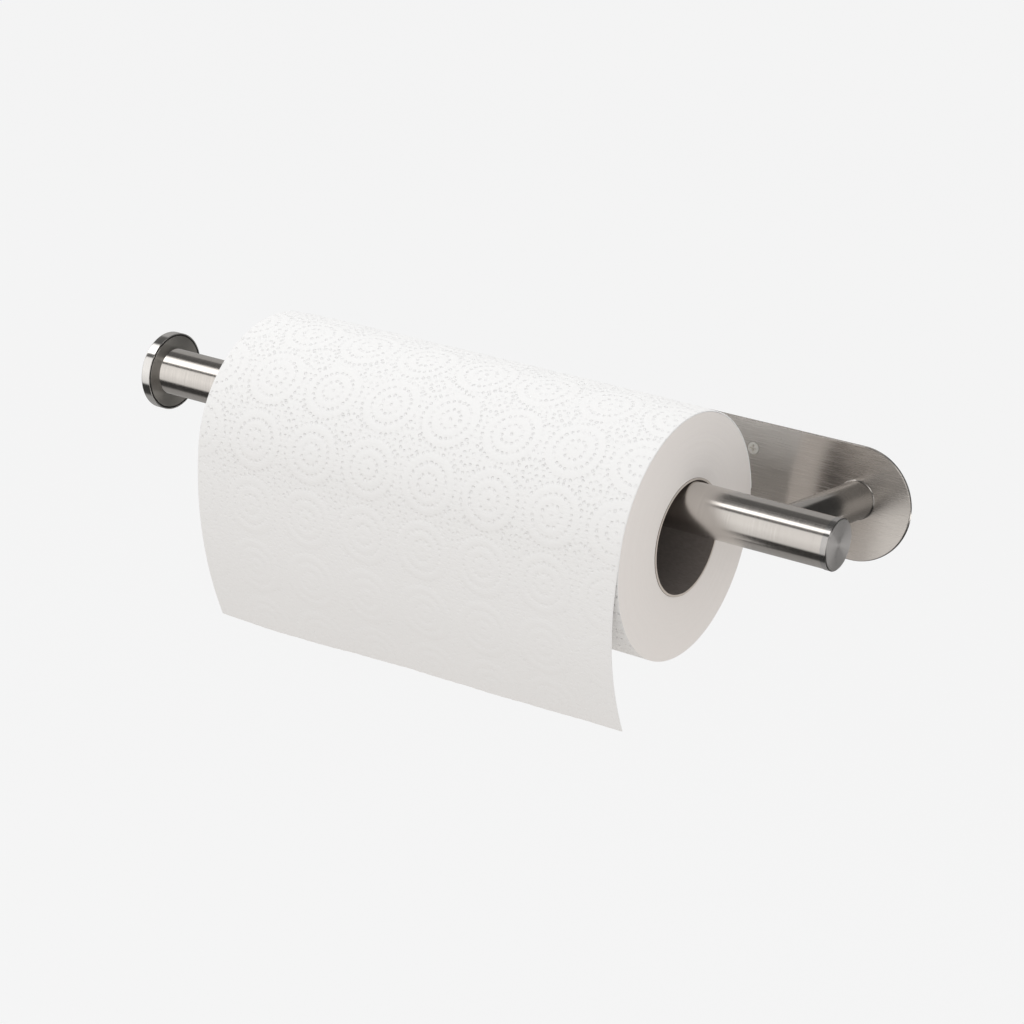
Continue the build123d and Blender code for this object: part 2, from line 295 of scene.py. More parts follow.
@dataclass(frozen=True)
class Steel:
    """Brushed, turned or plain stainless steel.

    The brushing is fine streaks in colour, roughness and height. It also stretches
    what the surface mirrors at right angles to the streaks.

    Attributes:
        name: The material's name.
        grain: The direction of the streaks.
        colour: The metal's colour.
        roughness: Roughness of the smoothest streaks.
        scatter: How much rougher the roughest streaks are.
        stretch: How far the mirrored image is stretched, from 0 to 1.
        streak: The width of a streak.
        streak_depth: The height of a streak.
        contrast: How far streaks are lighter or darker than the colour.
        edge_roughness: Roughness of the rounded edge of a turned face.
        streak_length: The length of a streak, in widths.
        cloud_scale: Broad clouds of tone to the metre.
        cloud_share: How much of the tone is in clouds and not in streaks.
    """

    name: str
    grain: Grain
    colour: Colour = (0.60, 0.575, 0.55)
    roughness: float = 0.16
    scatter: float = 0.05
    stretch: float = 0.6
    streak: float = 0.22 * MM
    streak_depth: float = 0.0012 * MM
    contrast: float = 0.07
    edge_roughness: float = 0.17
    streak_length: float = 70
    cloud_scale: float = 45.0
    cloud_share: float = 0.2

    def _grain_space(self, g: Graph) -> Socket:
        """Place the streaks.

        Args:
            g: The graph to add to.

        Returns:
            Coordinates in streaks, short across the grain and long along it.
        """
        fine, long = 1 / self.streak, 1 / (self.streak_length * self.streak)
        if self.grain is Grain.FACE:
            axes = HolderAxes.read()
            x, y, z = g.split(g.place())
            across_y = g.math("SUBTRACT", y, axes.bar_y)
            across_z = g.math("SUBTRACT", z, axes.bar_z)
            radius = g.length(across_y, across_z)
            return g.join(g.math("MULTIPLY", radius, fine), g.math("MULTIPLY", x, fine), 0.0)
        scales = {
            Grain.PLATE: (long, fine, fine),
            Grain.BAR: (fine, long, long),
            Grain.POST: (long, fine, long),
            Grain.SPUN: (fine, fine, fine),
        }
        return g.vector("MULTIPLY", g.place(), scales[self.grain])

    def _lay(self, g: Finish) -> None:
        """Turn the stretch of the mirrored image across the streaks.

        Args:
            g: The finish to add to.
        """
        if self.grain in (Grain.BAR, Grain.FACE):
            tangent = g.tree.nodes.new("ShaderNodeTangent")
            tangent.direction_type = "RADIAL"
            tangent.axis = "X"
            quarter_turn = 0.25
            g.set(Tangent=tangent.outputs[0], Anisotropic_Rotation=quarter_turn)
        elif self.grain is Grain.PLATE:
            g.set(Tangent=g.vector("CROSS_PRODUCT", g.normal(), (1.0, 0.0, 0.0)))

    def material(self) -> bpy.types.Material:
        """Return the finish as a new material."""
        g = Finish(self.name)
        streaks = g.noise(self._grain_space(g), 1.0, 3.0)
        clouds = g.noise(g.place(), self.cloud_scale)
        light = scaled(self.colour, 1 + self.contrast)
        dark = scaled(self.colour, 1 - self.contrast)
        mottle = g.blend(self.cloud_share, streaks, clouds)
        roughness = g.spread(streaks, *NOISE_RANGE, (self.roughness, self.roughness + self.scatter))
        if self.grain is Grain.FACE:
            edge = g.spread(g.end_share(), 0.5, 0.9, (1.0, 0.0))
            roughness = g.blend(edge, roughness, self.edge_roughness)
        g.set(
            Base_Color=g.tint(g.spread(mottle, *NOISE_RANGE), dark, light),
            Metallic=1.0,
            Roughness=roughness,
            Normal=g.bump(streaks, self.streak_depth),
            Anisotropic=self.stretch,
        )
        self._lay(g)
        return g.material


@dataclass(frozen=True)
class Rubber:
    """Matte black rubber or foam with a fine grain."""

    name: str
    colour: Colour = (0.012, 0.011, 0.010)
    roughness: float = 0.65
    grain: float = 0.4 * MM
    depth: float = 0.05 * MM
    scatter: float = 0.2
    lighter: float = 1.6

    def material(self) -> bpy.types.Material:
        """Return the finish as a new material."""
        g = Finish(self.name)
        pores = g.noise(g.place(), 1 / self.grain, 4.0)
        g.set(
            Base_Color=g.tint(pores, self.colour, scaled(self.colour, self.lighter)),
            Roughness=g.spread(pores, 0.2, 0.8, (self.roughness, self.roughness + self.scatter)),
            Normal=g.bump(pores, self.depth, 0.6),
        )
        return g.material


@dataclass(frozen=True)
class Cardboard:
    """Grey spiral-wound board with a helical seam and loose fibres.

    Attributes:
        name: The material's name.
        centre: Where the tube's axis lies, as y and z.
        colour: The board's colour inside the tube.
        cut_colour: Its colour at the cut ends.
        seam_pitch: How far the seam goes along the tube in one turn.
        seam_inner: Half the width of the seam's floor, in turns.
        seam_outer: Half the width of the seam's mouth, in turns.
        seam_shade: How dark the seam is, as a share of the board.
        fibre: The size of a fibre.
        depth: The height of fibres and seam.
        darker: The darkest fibres, as a share of the colour.
        lighter: The lightest fibres, as a share of the colour.
    """

    name: str
    centre: tuple[float, float]
    colour: Colour = (0.19, 0.165, 0.15)
    cut_colour: Colour = (0.62, 0.56, 0.50)
    seam_pitch: float = 72 * MM
    seam_inner: float = 0.004
    seam_outer: float = 0.012
    seam_shade: float = 0.85
    fibre: float = 0.9 * MM
    depth: float = 0.15 * MM
    darker: float = 0.6
    lighter: float = 1.5

    def material(self) -> bpy.types.Material:
        """Return the finish as a new material."""
        g = Finish(self.name)
        x, y, z = g.split(g.place())
        off_y, off_z = g.math("SUBTRACT", y, self.centre[0]), g.math("SUBTRACT", z, self.centre[1])
        angle = g.math("ARCTAN2", off_z, off_y)
        phase = g.math("SUBTRACT", g.math("DIVIDE", x, self.seam_pitch), g.math("DIVIDE", angle, TURN))
        from_seam = g.math("ABSOLUTE", g.math("WRAP", phase, 0.5, -0.5))
        seam = g.spread(from_seam, self.seam_inner, self.seam_outer)
        fibres = g.noise(g.vector("MULTIPLY", g.place(), (0.4, 1.0, 1.0)), 1 / self.fibre, 4.0)
        height = g.math("ADD", g.math("MULTIPLY", fibres, 0.3), g.math("MULTIPLY", seam, 0.5))
        shade = g.math("ADD", g.math("MULTIPLY", fibres, 0.6), 0.4)
        shade = g.math("MULTIPLY", shade, g.spread(seam, 0.0, 1.0, (self.seam_shade, 1.0)))
        wall = g.tint(shade, scaled(self.colour, self.darker), scaled(self.colour, self.lighter))
        colour = g.tint(g.spread(g.end_share(), 0.6, 0.8), wall, self.cut_colour)
        g.set(Base_Color=colour, Roughness=0.85, Normal=g.bump(height, self.depth))
        return g.material


@dataclass(frozen=True)
class Emboss:
    """Pattern of dotted rings pressed into tissue. All lengths are in millimetres.

    Attributes:
        pitch_x: Distance between large rosettes along the roll.
        pitch_y: Distance between large rosettes round the roll.
        large_ring: Distance from ring to ring in a large rosette.
        large_reach: Radius of a large rosette.
        small_ring: Distance from ring to ring in a small rosette, between four large ones.
        small_reach: Radius of a small rosette.
        dot_spacing: Distance from dot to dot along a ring.
        dot_inner: Radius of a dot's floor.
        dot_outer: Radius of a dot's rim.
        wander: How far dots stray from their rings.
        faintest: Depth of the faintest dots, as a share of the deepest.
        dome_share: Height of a rosette's pillow, as a share of the relief.
        ripple_share: Height of its rings, as a share of the relief.
    """

    pitch_x: float = 31.4
    pitch_y: float = 30.0
    large_ring: float = 4.7
    large_reach: float = 14.2
    small_ring: float = 3.3
    small_reach: float = 7.5
    dot_spacing: float = 2.6
    dot_inner: float = 0.15
    dot_outer: float = 0.95
    wander: float = 0.75
    faintest: float = 0.30
    dome_share: float = 0.5
    ripple_share: float = 0.9

    def dots(self, g: Graph, x: Socket, y: Socket, shift: float, pitch: float) -> tuple[Socket, Socket]:
        """Dot the rings round one set of lattice points.

        Args:
            g: The graph to add to.
            x: Place along the roll, in millimetres.
            y: Place round the roll, in millimetres.
            shift: Share of the lattice by which its points are moved.
            pitch: Distance from ring to ring, in millimetres.

        Returns:
            A value of 1 in each dot and 0 between them, and the distance from the lattice point.
        """
        near_x = g.math("WRAP", g.math("ADD", x, shift * self.pitch_x), self.pitch_x / 2, -self.pitch_x / 2)
        near_y = g.math("WRAP", g.math("ADD", y, shift * self.pitch_y), self.pitch_y / 2, -self.pitch_y / 2)
        radius = g.length(near_x, near_y)
        ring = g.math("MULTIPLY", g.math("ROUND", g.math("DIVIDE", radius, pitch)), pitch)
        count = g.math("MAXIMUM", g.math("ROUND", g.math("MULTIPLY", ring, TURN / self.dot_spacing)), 1.0)
        angle = g.math("DIVIDE", g.math("ARCTAN2", near_y, near_x), TURN)
        step = g.math("WRAP", g.math("MULTIPLY", angle, count), 0.5, -0.5)
        along = g.math("MULTIPLY", g.math("DIVIDE", step, count), g.math("MULTIPLY", ring, TURN))
        off = g.math("SUBTRACT", radius, ring)
        distance = g.length(along, off)
        return g.spread(distance, self.dot_inner, self.dot_outer, (1.0, 0.0)), radius

    def height(self, g: Graph, x: Socket, y: Socket) -> Socket:
        """Press the pattern into the paper.

        The small rosettes fill the gaps between the large ones. The dots stand a little
        out of line and differ in depth, as soft tissue shows them.

        Args:
            g: The graph to add to.
            x: Place along the roll, in millimetres.
            y: Place round the roll, in millimetres.

        Returns:
            The height, from 1 on plain paper down to 0 in the deepest dot.
        """
        plain = g.join(x, y, 0.0)
        strays = []
        for scale in (0.45, 0.39):
            off_middle = g.math("SUBTRACT", g.noise(plain, scale, 1.0), 0.5)
            strays.append(g.math("MULTIPLY", off_middle, 2 * self.wander))
        x, y = g.math("ADD", x, strays[0]), g.math("ADD", y, strays[1])
        large, from_large = self.dots(g, x, y, 0.0, self.large_ring)
        small, from_small = self.dots(g, x, y, 0.5, self.small_ring)
        margin = g.math("SUBTRACT", from_large, from_small)
        in_small = g.math("GREATER_THAN", margin, self.large_reach - self.small_reach)
        dot = g.blend(in_small, large, small)
        depth = g.spread(g.noise(plain, 0.22), 0.32, 0.60, (self.faintest, 1.0))
        return g.math("SUBTRACT", 1.0, g.math("MULTIPLY", dot, depth))

    def relief(self, x: np.ndarray, y: np.ndarray) -> np.ndarray:
        """Raise the broad pillow of each large rosette and its rings.

        Args:
            x: Places across the flat towel, in millimetres.
            y: Places down the flat towel, in millimetres.

        Returns:
            The height at each place, from 0 up to the two shares together.
        """
        near_x = (x + self.pitch_x / 2) % self.pitch_x - self.pitch_x / 2
        near_y = (y + self.pitch_y / 2) % self.pitch_y - self.pitch_y / 2
        radius = np.hypot(near_x, near_y)
        dome = np.clip(1 - (radius / self.large_reach) ** 2, 0, 1)
        ripple = 0.5 - 0.5 * np.cos(TURN * radius / self.large_ring)
        return self.dome_share * dome + self.ripple_share * ripple * (radius < self.large_reach)


@dataclass(frozen=True)
class Tissue:
    """Embossed two-ply tissue, on a sheet's own map or round a roll's axis.

    Attributes:
        name: The material's name.
        emboss: The pattern in the paper.
        colour: The paper's colour.
        cut_colour: Its colour at the cut edges, lighter than the paper; this is a painted highlight where
            the edges catch the light.
        flat: Width and length of a sheet, or None on a roll.
        centre: A point of the roll's axis.
        radius: The roll's radius.
        depth: The depth of the dots.
        dot_shade: How dark the dots are painted, as a share of the paper; this is painted shade in the
            pressed dots.
        crepe_share: Height of fibres and crepe, as a share of the depth.
        soft_from: How far down a sheet its dots start to fade, or 0.
        soft_to: How far down they are faintest, or 0 where they don't fade.
        softening: How much of their depth they lose.
    """

    name: str
    emboss: Emboss
    colour: Colour = (0.90, 0.895, 0.885)
    cut_colour: Colour = (0.97, 0.97, 0.965)
    flat: tuple[float, float] | None = None
    centre: Point = (0.0, 0.0, 0.0)
    radius: float = 1.0
    depth: float = 0.50 * MM
    dot_shade: float = 0.994
    crepe_share: float = 0.35
    soft_from: float = 0.0
    soft_to: float = 0.0
    softening: float = 0.78

    def _flat_place(self, g: Graph) -> tuple[Socket, Socket]:
        """Find the place on the flat paper.

        Args:
            g: The graph to add to.

        Returns:
            The places across and down the paper, in millimetres.
        """
        if self.flat:
            u, v, _ = g.split(g.tree.nodes.new("ShaderNodeUVMap").outputs[0])
            width, length = self.flat
            return g.math("MULTIPLY", u, width / MM), g.math("MULTIPLY", v, length / MM)
        x, y, z = g.split(g.vector("SUBTRACT", g.place(), self.centre))
        return g.math("DIVIDE", x, MM), g.math("MULTIPLY", g.math("ARCTAN2", z, y), self.radius / MM)

    def material(self) -> bpy.types.Material:
        """Return the finish as a new material."""
        g = Finish(self.name)
        x, y = self._flat_place(g)
        plain = g.join(x, y, 0.0)
        pressed = self.emboss.height(g, x, y)
        if self.soft_to:
            loss = g.spread(y, self.soft_from / MM, self.soft_to / MM, (0.0, self.softening))
            pressed = g.math("ADD", pressed, g.math("MULTIPLY", g.math("SUBTRACT", 1.0, pressed), loss))
        fibres = g.noise(plain, 2.2, 5.0)
        crepe = g.noise(g.vector("MULTIPLY", plain, (0.5, 1.2, 1.0)), 0.9, 3.0)
        height = g.math("ADD", pressed, g.math("MULTIPLY", g.math("ADD", fibres, crepe), self.crepe_share))
        # Painted shade: the colour is darker in the pressed dots, and it also varies at random with the
        # fibres.
        shade = g.blend(0.25, pressed, fibres)
        face = g.tint(shade, scaled(self.colour, self.dot_shade), self.colour)
        g.set(
            # Painted highlight: faces turned towards the roll's ends are lighter, as cut edges that catch
            # the light.
            Base_Color=g.tint(g.spread(g.end_share(), 0.6, 0.9), face, self.cut_colour),
            Roughness=0.92,
            Specular_IOR_Level=0.15,
            Normal=g.bump(height, self.depth, 0.9),
        )
        return g.material


@dataclass(frozen=True)
class RollEnd:
    """Cut end of a wound roll: the edges of its layers, seen as faint rings, with painted shade where the
    rings and fluff lie low.

    Attributes:
        name: The material's name.
        centre: Where the roll's axis lies, as y and z.
        colour: The paper's colour.
        layer: The thickness of a layer.
        fluff: The size of the fluff on the cut.
        fluff_share: Height of the fluff, as a share of the depth.
        depth: The depth of rings and fluff.
        darker: The darkest rings, as a share of the colour.
    """

    name: str
    centre: tuple[float, float]
    colour: Colour = (0.89, 0.85, 0.815)
    layer: float = 0.55 * MM
    fluff: float = 1.4 * MM
    fluff_share: float = 0.3
    depth: float = 0.12 * MM
    # darker: The darkest rings, as a share of the colour; this darkening is painted shade.
    darker: float = 0.94

    def material(self) -> bpy.types.Material:
        """Return the finish as a new material."""
        g = Finish(self.name)
        x, y, z = g.split(g.place())
        off_y = g.math("SUBTRACT", y, self.centre[0])
        off_z = g.math("SUBTRACT", z, self.centre[1])
        radius = g.length(off_y, off_z)
        angle = g.math("DIVIDE", g.math("ARCTAN2", off_z, off_y), TURN)
        turns = g.math("ADD", g.math("DIVIDE", radius, self.layer), angle)
        ring = g.noise(g.join(turns, g.math("MULTIPLY", angle, 3.0), 0.0), 1.0, 3.0)
        fluff = g.noise(g.place(), 1 / self.fluff, 4.0)
        height = g.blend(self.fluff_share, ring, fluff)
        g.set(
            # Painted shade: the colour is darker where the rings and the fluff lie low.
            Base_Color=g.tint(height, scaled(self.colour, self.darker), self.colour),
            Roughness=0.95,
            Specular_IOR_Level=0.1,
            Normal=g.bump(height, self.depth, 0.5),
        )
        return g.material


@dataclass(frozen=True)
class HolderAxes:
    """Places read from the frame that several pieces share.

    Attributes:
        bar_y: Where the bar's axis lies towards the wall.
        bar_z: The height of the bar's axis.
        roll_y: Where the roll's axis lies towards the wall.
        roll_z: The height of the roll's axis.
        roll_left: The roll's left end.
        roll_right: The roll's right end.
        roll_radius: The roll's radius.
        core_outer: The radius of its core.
    """

    bar_y: float
    bar_z: float
    roll_y: float
    roll_z: float
    roll_left: float
    roll_right: float
    roll_radius: float
    core_outer: float

    @classmethod
    def read(cls) -> "HolderAxes":
        """Return the places, measured on the CAD nodes."""
        bar_low, bar_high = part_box("bar_tube")
        roll_low, roll_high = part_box("paper_roll")
        core_low, core_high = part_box("cardboard_core")
        roll_middle = (core_low + core_high) / 2
        return cls(
            bar_y=(bar_low.y + bar_high.y) / 2,
            bar_z=(bar_low.z + bar_high.z) / 2,
            roll_y=roll_middle.y,
            roll_z=roll_middle.z,
            roll_left=roll_low.x,
            roll_right=roll_high.x,
            roll_radius=(roll_high.z - roll_low.z) / 2,
            core_outer=(core_high.z - core_low.z) / 2,
        )


def deselect() -> None:
    """Leave object mode with nothing selected."""
    if bpy.context.object and bpy.context.object.mode != "OBJECT":
        bpy.ops.object.mode_set(mode="OBJECT")
    bpy.ops.object.select_all(action="DESELECT")


def activate(piece: bpy.types.Object) -> None:
    """Select one piece alone and make it active.

    Args:
        piece: The piece.
    """
    deselect()
    piece.select_set(True)
    bpy.context.view_layer.objects.active = piece


def apply_modifier(piece: bpy.types.Object, kind: str, **settings: float | str | bool | int) -> None:
    """Add a modifier to a piece and apply it.

    Args:
        piece: The piece to change.
        kind: The modifier's type, such as SOLIDIFY.
        settings: The modifier's settings by name.
    """
    activate(piece)
    modifier = piece.modifiers.new(kind.title(), kind)
    for name, value in settings.items():
        setattr(modifier, name, value)
    bpy.ops.object.modifier_apply(modifier=modifier.name)


def face_outwards(piece: bpy.types.Object) -> None:
    """Merge a closed piece's doubles and turn its faces outwards.

    Args:
        piece: The piece.
    """
    activate(piece)
    bpy.ops.object.mode_set(mode="EDIT")
    bpy.ops.mesh.select_all(action="SELECT")
    bpy.ops.mesh.remove_doubles(threshold=0.001 * MM)
    bpy.ops.mesh.normals_make_consistent(inside=False)
    bpy.ops.object.mode_set(mode="OBJECT")


def smooth(piece: bpy.types.Object, degrees: float) -> None:
    """Shade a piece smooth, with edges kept sharp past an angle."""
    activate(piece)
    bpy.ops.object.shade_smooth_by_angle(angle=math.radians(degrees))


def read_points(piece: bpy.types.Object) -> np.ndarray:
    """Read where a piece's vertices are.

    Args:
        piece: The piece.

    Returns:
        One row for each vertex.
    """
    points = np.zeros(len(piece.data.vertices) * 3)
    piece.data.vertices.foreach_get("co", points)
    return points.reshape(-1, 3)


def write_points(piece: bpy.types.Object, points: np.ndarray) -> None:
    """Move a piece's vertices to an array of points."""
    piece.data.vertices.foreach_set("co", points.ravel())
    piece.data.update()


def dress(piece: bpy.types.Object, *materials: bpy.types.Material) -> None:
    """Give a piece its materials in place of any that it has.

    Args:
        piece: The piece.
        materials: Its new materials, in the order of their slots.
    """
    piece.data.materials.clear()
    for material in materials:
        piece.data.materials.append(material)


@dataclass
class SteelHolder:
    """The metal holder: its CAD nodes, each in its own finish."""

    nodes: dict[str, bpy.types.Object]
    plate: Steel = Steel(
        "plate_steel",
        Grain.PLATE,
        (0.61, 0.58, 0.55),
        roughness=0.20,
        scatter=0.08,
        stretch=0.8,
        streak=0.18 * MM,
        streak_depth=0.0005 * MM,
        contrast=0.10,
    )
    tube: Steel = Steel("tube_steel", Grain.BAR)
    # The post and its collar are painted darker than the bar's steel: painted shade.
    post: Steel = Steel("post_steel_painted_shade", Grain.POST, (0.46, 0.44, 0.42), 0.15, stretch=0.0)
    cap: Steel = Steel("cap_steel", Grain.FACE, (0.52, 0.51, 0.505), 0.36, stretch=0.98, contrast=0.09)
    # The stop disc's flange is painted darker than the rest of the steel: painted shade on its face towards
    # the roll.
    flange: Steel = Steel("flange_steel_painted_shade", Grain.FACE, (0.40, 0.39, 0.37), 0.36, stretch=0.8)
    rim: Steel = Steel("rim_steel", Grain.BAR, (0.68, 0.67, 0.66), 0.10)
    slug: Steel = Steel("slug_steel", Grain.SPUN, (0.42, 0.42, 0.42), 0.35, stretch=0.0)
    zinc: Steel = Steel("zinc_plating", Grain.SPUN, (0.90, 0.88, 0.84), 0.32, stretch=0.0)
    seal: Rubber = Rubber("seal_rubber")
    foam: Rubber = Rubber("pad_foam", (0.06, 0.06, 0.06), 0.8, grain=0.9 * MM, depth=0.12 * MM)

    def dress(self) -> None:
        """Give every metal, rubber and foam node its finish.

        Mirrors don't show the stop disc, so that the bar's highlights run up to it.
        """
        wear = {
            self.plate: ["wall_plate"],
            self.tube: ["bar_tube"],
            self.post: ["post", "post_collar"],
            self.cap: ["bar_end_cap"],
            self.flange: ["end_flange"],
            self.rim: ["end_cap"],
            self.slug: ["bar_anchor", "bar_end_insert", "post_saddle"],
            self.zinc: ["wall_screws", "tie_screw", "end_screw"],
            self.seal: ["end_seal"],
            self.foam: ["adhesive_pad"],
        }
        for finish, names in wear.items():
            material = finish.material()
            for name in names:
                dress(self.nodes[name], material)
                LOG.info("dressed %s in %s", name, finish.name)
        for name in ("end_flange", "end_seal", "end_cap", "end_screw"):
            self.nodes[name].visible_glossy = False


@dataclass
class HangingTowel:
    """The last towel: wrapped over the roll from the back and hanging in front.

    Attributes:
        axes: Places on the holder.
        emboss: The pattern in the paper.
        thickness: The towel's thickness.
        rise: How high its middle layer lies above the roll.
        slack: How far it stands off the roll where it is loosest.
        rounding: Radius of its cut edges.
        wrap_degrees: The turn of the roll that it covers.
        curl_radius: Radius of the curl in which it hangs.
        left_curl_degrees: Length of the curl at the left edge, as an angle.
        right_curl_degrees: The same at the right edge.
        columns: Cells across the towel.
        rows: Cells down the towel.
        pillow: Height of the relief.
        flat_edge: Power by which relief and slack keep up to the side edges.
        sway: Height of the waves in the hanging part.
        wave: Turn rate of the broad wave across the towel, and its start.
        ripple: Turn rates of the lesser wave across and down the towel.
        left_draw: How far the bottom left corner is drawn in.
        right_draw: How far the bottom right corner is drawn in.
        waist: How far the right edge is drawn in halfway down.
        loosening: Power by which sway and draw grow down the hanging part.
    """

    axes: HolderAxes
    emboss: Emboss
    thickness: float = 0.50 * MM
    rise: float = 0.31 * MM
    slack: float = 0.40 * MM
    rounding: float = 0.2 * MM
    wrap_degrees: float = 167.0
    curl_radius: float = 170 * MM
    left_curl_degrees: float = 29.4
    right_curl_degrees: float = 27.8
    columns: int = 204
    rows: int = 214
    pillow: float = 0.22 * MM
    flat_edge: int = 8
    sway: float = 0.9 * MM
    wave: tuple[float, float] = (5.1, 0.6)
    ripple: tuple[float, float] = (11.3, 6.0)
    left_draw: float = 2.8 * MM
    right_draw: float = 1.2 * MM
    waist: float = 1.5 * MM
    loosening: float = 1.5

    @property
    def width(self) -> float:
        """Return the towel's width."""
        return self.axes.roll_right - self.axes.roll_left

    @property
    def wrap_length(self) -> float:
        """Return the length that lies on the roll."""
        return math.radians(self.wrap_degrees) * (self.axes.roll_radius + self.rise)

    @property
    def length(self) -> float:
        """Return the flat length at the longer, left edge."""
        return self.wrap_length + math.radians(self.left_curl_degrees) * self.curl_radius

    def _place(self, across: np.ndarray, down: np.ndarray) -> np.ndarray:
        """Return the hung towel's points.

        The towel lies on the roll from its back edge on, then leaves it and curls inwards
        as it hangs. Its rosettes stand proud, and it lies a little slack over the roll, apart
        from its two side edges. The hanging part sways in slow waves and draws in at its sides.

        Args:
            across: Places across the towel, from 0 at the left to 1.
            down: Places down the towel, from 0 at its back edge to 1.

        Returns:
            One point for each place, in metres.
        """
        degrees = self.left_curl_degrees + (self.right_curl_degrees - self.left_curl_degrees) * across
        hang = np.radians(degrees) * self.curl_radius
        run = down * (self.wrap_length + hang)
        flat_x, flat_y = across * self.width / MM, down * self.length / MM
        inner = 1 - np.abs(2 * across - 1) ** self.flat_edge
        loose = self.slack * np.sin(math.pi * np.minimum(run / self.wrap_length, 1)) ** 2
        lift = inner * (self.pillow * self.emboss.relief(flat_x, flat_y) + loose)
        radius = self.axes.roll_radius + self.rise
        turn = np.radians(180 - self.wrap_degrees) + np.minimum(run, self.wrap_length) / radius
        curl = np.maximum(run - self.wrap_length, 0) / self.curl_radius
        free = np.clip(curl / math.radians(self.left_curl_degrees), 0, 1)
        wave, start = self.wave
        ripple, slant = self.ripple
        waves = np.sin(across * wave + start) + 0.5 * np.sin(across * ripple + down * slant)
        lift = lift + self.sway * waves * free**self.loosening
        on_roll = curl <= 0
        wound, hung = radius + lift, self.curl_radius + lift
        y = np.where(on_roll, wound * np.cos(turn), self.curl_radius - radius - hung * np.cos(curl))
        z = np.where(on_roll, wound * np.sin(turn), -hung * np.sin(curl))
        draw = self.left_draw * (1 - across) - self.right_draw * across
        draw = draw * free**self.loosening - self.waist * across**4 * np.sin(math.pi * free)
        x = self.axes.roll_left + across * self.width + draw
        return np.column_stack([x, self.axes.roll_y + y, self.axes.roll_z + z])

    def build(self) -> bpy.types.Object:
        """Return the towel, hung and dressed."""
        deselect()
        bpy.ops.mesh.primitive_grid_add(x_subdivisions=self.columns, y_subdivisions=self.rows, size=1)
        towel = bpy.context.object
        towel.name = "hanging_towel_sheet"
        points = read_points(towel) + 0.5
        write_points(towel, self._place(points[:, 0], points[:, 1]))
        apply_modifier(towel, "SOLIDIFY", thickness=self.thickness, offset=0.0)
        apply_modifier(towel, "BEVEL", width=self.rounding, segments=2, angle_limit=math.radians(60))
        face_outwards(towel)
        smooth(towel, 60)
        finish = Tissue(
            "towel_tissue",
            self.emboss,
            flat=(self.width, self.length),
            soft_from=0.80 * self.wrap_length,
            soft_to=0.5 * (self.wrap_length + self.length),
        )
        dress(towel, finish.material())
        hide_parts("loose_sheet")
        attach(towel, "hanging_towel")
        self.length
        return towel


@dataclass
class WoundPaper:
    """The wound layers of the roll, turned from one profile.

    Attributes:
        axes: Places on the holder.
        emboss: The pattern in the paper.
        segments: Faces round the roll.
        layer_ridges: Ridges from the core to the rim on each end.
        ridge: How far a layer may lie below the end.
        edge: Radius of the rim's rounded edge.
        edge_steps: Faces across that edge.
        clearance: The gap to the core.
    """

    axes: HolderAxes
    emboss: Emboss
    segments: int = 180
    layer_ridges: int = 22
    ridge: float = 0.10 * MM
    edge: float = 0.15 * MM
    edge_steps: int = 4
    clearance: float = 0.02 * MM

    def _profile(self) -> list[tuple[float, float]]:
        """Draw the outline, with its ends ridged by uneven layers and its corners rounded.

        Returns:
            Pairs of place along the roll and radius.
        """
        inner, outer = self.axes.core_outer + self.clearance, self.axes.roll_radius
        left, right = self.axes.roll_left, self.axes.roll_right
        steps = 2 * self.layer_ridges
        radii = [inner + (outer - self.edge - inner) * i / steps for i in range(steps + 1)]
        drops = [self.ridge * (0.5 + 0.5 * math.sin(2.4 * i * i)) * (i % 2) for i in range(steps + 1)]
        corner = [math.pi / 2 * i / self.edge_steps for i in range(1, self.edge_steps + 1)]
        ends = [(right - drop, radius) for drop, radius in zip(drops, radii)]
        centre = (right - self.edge, outer - self.edge)
        ends += [(centre[0] + self.edge * math.cos(a), centre[1] + self.edge * math.sin(a)) for a in corner]
        other = [(left + right - x, radius) for x, radius in reversed(ends)]
        return ends + other

    def build(self) -> bpy.types.Object:
        """Return the wound paper, dressed on its face and its ends."""
        profile = self._profile()
        deselect()
        bpy.ops.mesh.primitive_circle_add(vertices=len(profile), radius=1, fill_type="NOTHING")
        roll = bpy.context.object
        roll.name = "wound_paper"
        axis = (0.0, self.axes.roll_y, self.axes.roll_z)
        outline = np.array([(x, axis[1], axis[2] + radius) for x, radius in profile])
        write_points(roll, outline)
        activate(roll)
        bpy.ops.object.mode_set(mode="EDIT")
        bpy.ops.mesh.select_all(action="SELECT")
        bpy.ops.mesh.spin(steps=self.segments, angle=TURN, center=axis, axis=(1, 0, 0))
        face_outwards(roll)
        smooth(roll, 50)
        place = (self.axes.roll_left, *axis[1:])
        skin = Tissue("roll_tissue", self.emboss, centre=place, radius=self.axes.roll_radius)
        dress(roll, skin.material(), RollEnd("roll_end_paper", axis[1:]).material())
        for face in roll.data.polygons:
            face.material_index = int(abs(face.normal.x) > 0.7)
        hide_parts("paper_roll")
        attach(roll, "roll")
        return roll


